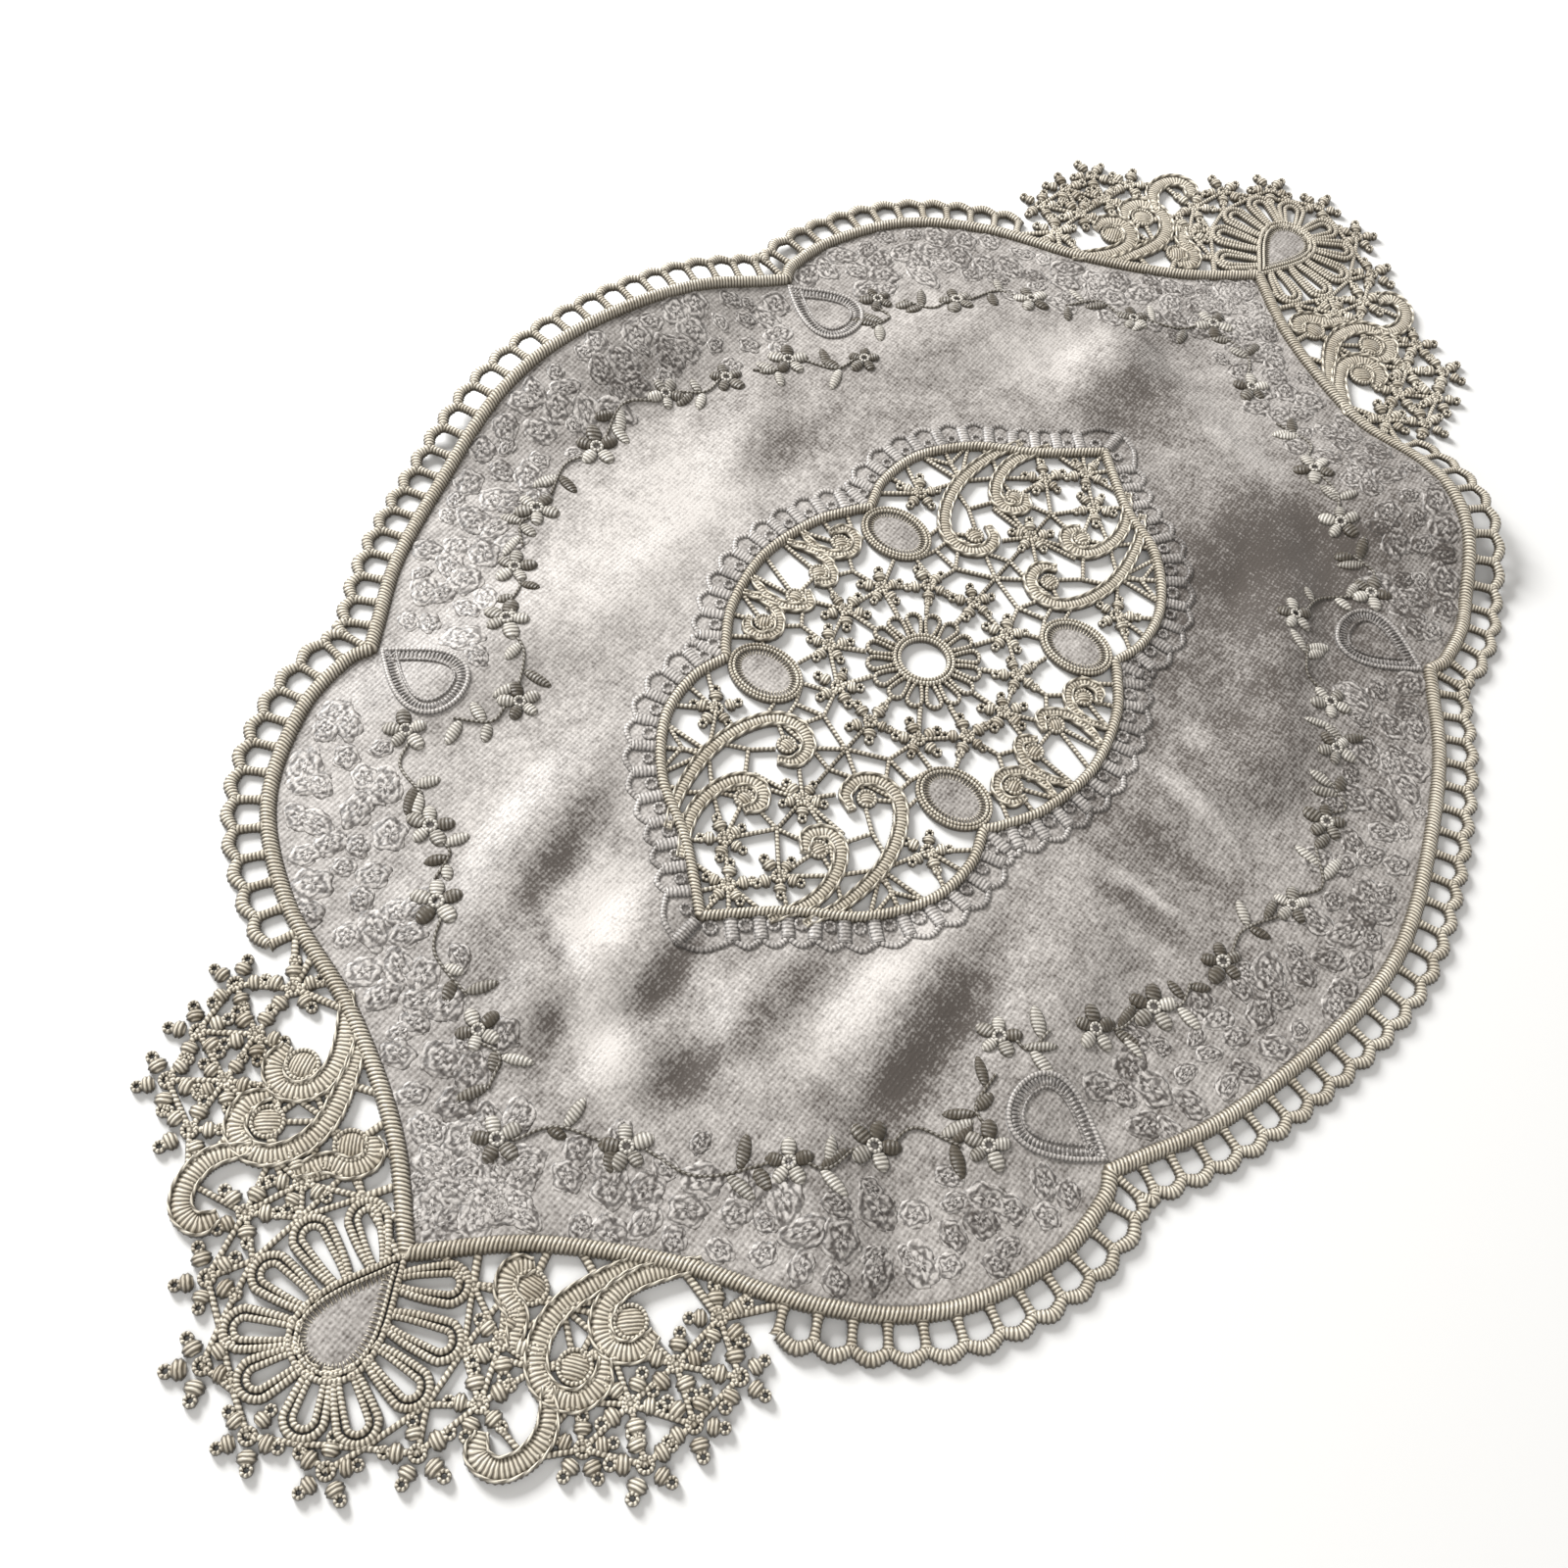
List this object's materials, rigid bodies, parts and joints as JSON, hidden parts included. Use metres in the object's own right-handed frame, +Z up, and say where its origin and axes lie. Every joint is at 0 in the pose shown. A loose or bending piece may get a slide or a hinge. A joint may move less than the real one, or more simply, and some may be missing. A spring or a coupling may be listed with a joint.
{
  "type": "lace placemat",
  "caption": "Pointed oval satin placemat with lobed corded edge, openwork lace fans at both ends, a scalloped ladder edging and a lace-filled middle opening, laid out flat.",
  "frame": {"origin": "on the table under the middle of the mat", "axes": "+X along the mat's long axis, +Y along its short axis, +Z up from the table"},
  "size_m": [0.4554, 0.2696, 0.011],
  "materials": {
    "satin": "grey-mauve satin weave with tone-on-tone embroidery",
    "lace_thread": "greige satin-stitched lace",
    "cord_thread": "greige satin-stitched cord"
  },
  "bodies": {
    "root": {"satin_field": "satin", "edge_cord": "cord_thread", "middle_cord": "cord_thread", "lace_border": "lace_thread", "middle_lace": "lace_thread", "satin_drop_right": "satin", "satin_drop_left": "satin", "satin_oval_right_back": "satin", "satin_oval_right_front": "satin", "satin_oval_left_back": "satin", "satin_oval_left_front": "satin"}
  },
  "joints": []
}
